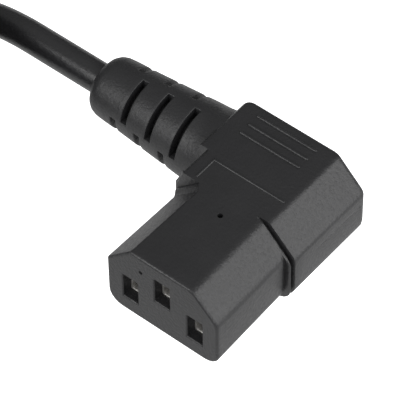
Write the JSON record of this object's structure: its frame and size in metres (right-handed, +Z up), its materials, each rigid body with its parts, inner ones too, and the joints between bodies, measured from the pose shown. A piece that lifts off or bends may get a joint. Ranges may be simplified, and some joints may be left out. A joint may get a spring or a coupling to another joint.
{
  "type": "power cord",
  "caption": "Black coiled appliance power cord with an angled socket connector, slotted strain relief boot, and a matching pin plug on the far end of the tied coil",
  "frame": {"origin": "centre of the contact face of the connector, at mid width and mid height", "axes": "+X to the right for someone facing the contact face, +Y rearwards into the connector, +Z up on the earth contact side"},
  "size_m": [0.1551, 0.0872, 0.0428],
  "materials": {
    "black_pvc": "matte",
    "black_plastic": "satin",
    "strap": "matte",
    "brass": "satin",
    "copper": "satin",
    "brown_core": "satin",
    "blue_core": "satin",
    "green_core": "satin"
  },
  "bodies": {
    "root": {"connector_nose": "black_plastic", "connector_hood": "black_pvc", "contact_line": "brass", "contact_neutral": "brass", "contact_earth": "brass", "wire_line": "brown_core", "wire_neutral": "blue_core", "wire_earth": "green_core", "strands_line": "copper", "strands_neutral": "copper", "strands_earth": "copper", "jacket_root": "black_pvc", "cord_lead": "black_pvc", "cord_coil": "black_pvc", "cord_tail": "black_pvc", "coil_tie": "strap", "plug_shell": "black_pvc", "plug_bridge": "black_plastic", "blade_line": "brass", "blade_neutral": "brass", "blade_earth": "brass", "plug_wire_line": "brown_core", "plug_wire_neutral": "blue_core", "plug_wire_earth": "green_core", "plug_jacket": "black_pvc"}
  },
  "joints": []
}
